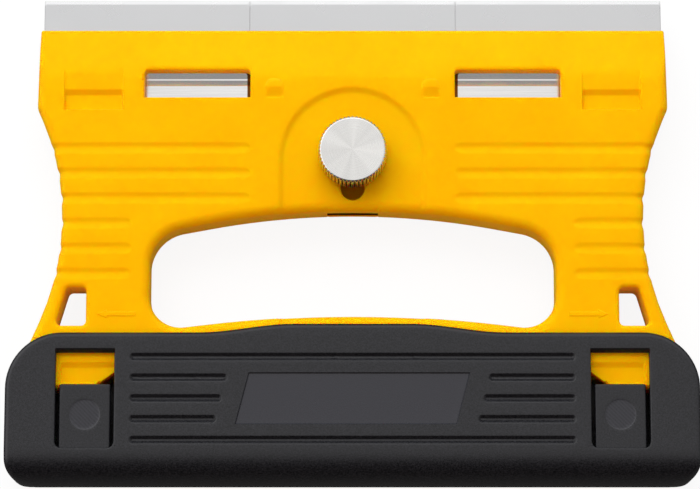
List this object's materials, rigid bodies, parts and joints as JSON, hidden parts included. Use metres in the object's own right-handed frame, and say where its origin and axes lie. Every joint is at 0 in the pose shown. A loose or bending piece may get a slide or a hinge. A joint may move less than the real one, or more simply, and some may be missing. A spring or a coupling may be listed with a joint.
{
  "type": "razor scraper",
  "caption": "Wide hand scraper with a D-shaped two-shell handle, a retractable blade carriage clamped by a knurled thumb screw, and a slip-on blade cover parked on the grip.",
  "frame": {"origin": "middle of the footprint, at the level of the cover's back face, with the tool lying on its back", "axes": "+X to the tool's right, +Y towards the cutting edge, +Z out of the face that carries the thumb screw"},
  "size_m": [0.1666, 0.1208, 0.0231],
  "materials": {
    "yellow_plastic": "satin moulded, fine grain",
    "black_plastic": "satin moulded, fine grain",
    "blade_steel": "ground, with polished bevels",
    "stainless_sheet": "pressed sheet, bright",
    "turned_steel": "turned, nickel bright",
    "zinc_plate": "zinc plated"
  },
  "bodies": {
    "handle": {"front_shell": "yellow_plastic", "back_shell": "yellow_plastic", "shell_screw_1": "zinc_plate", "shell_screw_2": "zinc_plate", "shell_screw_3": "zinc_plate", "shell_screw_4": "zinc_plate", "shell_screw_5": "zinc_plate", "shell_screw_6": "zinc_plate"},
    "carriage": {"blade_tray": "stainless_sheet", "blade_clamp": "stainless_sheet", "clinch_nut": "zinc_plate", "blade_left": "blade_steel", "blade_centre": "blade_steel", "blade_right": "blade_steel"},
    "washer": {"flat_washer": "zinc_plate"},
    "screw": {"thumb_screw": "turned_steel"},
    "cover": {"blade_cover": "black_plastic"}
  },
  "joints": [
    {"name": "blade_slide", "type": "slide", "parent": "handle", "child": "carriage", "axis": [0, -1, 0], "range_m": [0, 0.0083]},
    {"name": "screw_lift", "type": "slide", "parent": "carriage", "child": "washer", "axis": [0, 0, 1], "range_m": [0, 0.0016]},
    {"name": "screw_turn", "type": "hinge", "parent": "washer", "child": "screw", "pos_m": [0, 0.0198, 0.0089], "axis": [0, 0, 1], "range_deg": [0, 720]},
    {"name": "cover_slide", "type": "slide", "parent": "handle", "child": "cover", "axis": [0, -1, 0], "range_m": [0, 0.032]}
  ],
  "couplings": [
    {"joint": "screw_lift", "follows": "screw_turn", "m_per_rad": 0.00012732}
  ]
}
